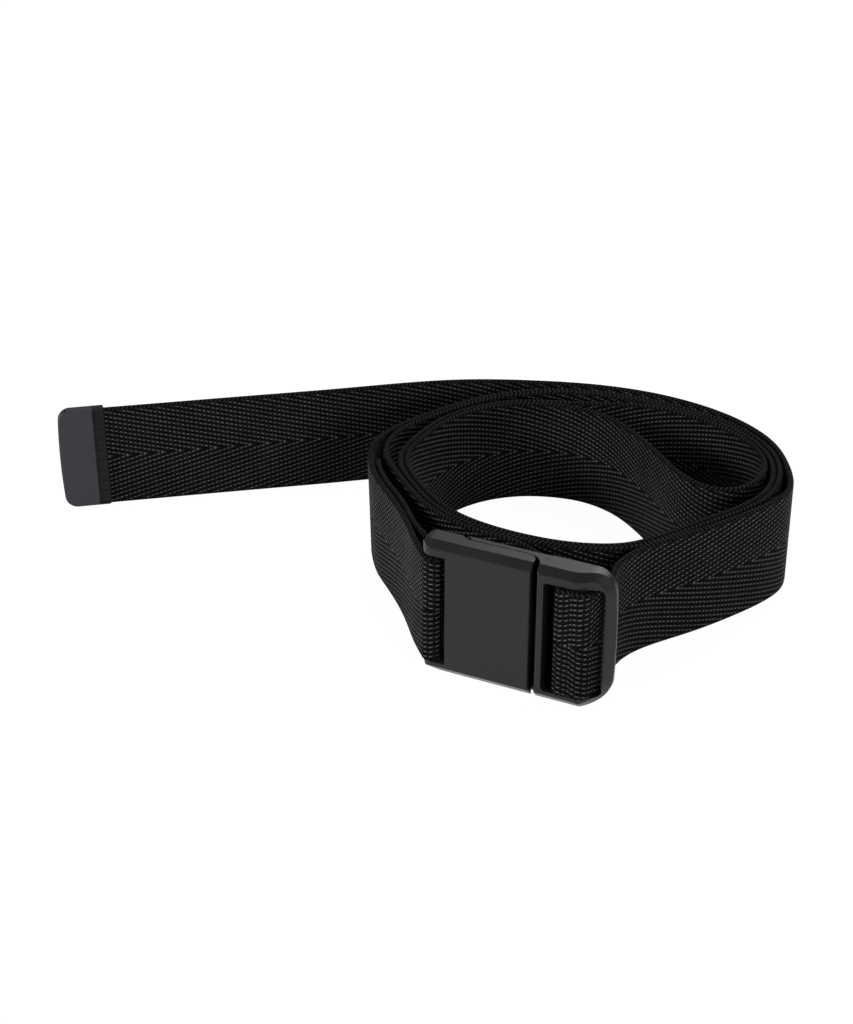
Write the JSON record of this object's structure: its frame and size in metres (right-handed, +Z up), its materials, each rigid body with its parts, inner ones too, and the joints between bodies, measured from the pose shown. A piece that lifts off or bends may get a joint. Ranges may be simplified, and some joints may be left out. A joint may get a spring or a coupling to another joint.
{
  "type": "luggage strap",
  "caption": "Coiled webbing luggage strap with a slide-and-lift magnetic buckle, a sewn end loop, and a capped free tail run through a slotted bar adjuster.",
  "frame": {"origin": "on the floor under the base's slotted frame, on the narrow face that it stands on", "axes": "+Z up along the webbing's width; +X along the buckle from latch to base; the buckle's front face looks along -Y"},
  "size_m": [0.256, 0.1488, 0.0494],
  "materials": {
    "webbing": "ribbed polyester webbing, near black",
    "buckle": "fine matt texture, charcoal",
    "tip_cap": "satin, charcoal",
    "magnet": "nickel plated"
  },
  "bodies": {
    "base_half": {"base_frame": "buckle", "base_magnet_lower": "magnet", "base_magnet_upper": "magnet", "base_magnet_cap": "buckle", "strap_outer_lap": "webbing", "strap_inner_lap": "webbing", "strap_turn_back": "webbing", "strap_return_lap": "webbing", "strap_adjuster_lap": "webbing", "strap_bar_turn": "webbing", "strap_tail": "webbing", "strap_fold_back": "webbing", "tip_cap": "tip_cap"},
    "latch_half": {"latch_cover": "buckle", "latch_keeper": "buckle", "latch_magnet_lower": "magnet", "latch_magnet_upper": "magnet", "strap_end_loop": "webbing"}
  },
  "joints": [
    {"name": "latch_slide", "type": "slide", "parent": "base_half", "child": "latch_half", "axis": [0, 0, 1], "range_m": [0, 0.01]}
  ]
}
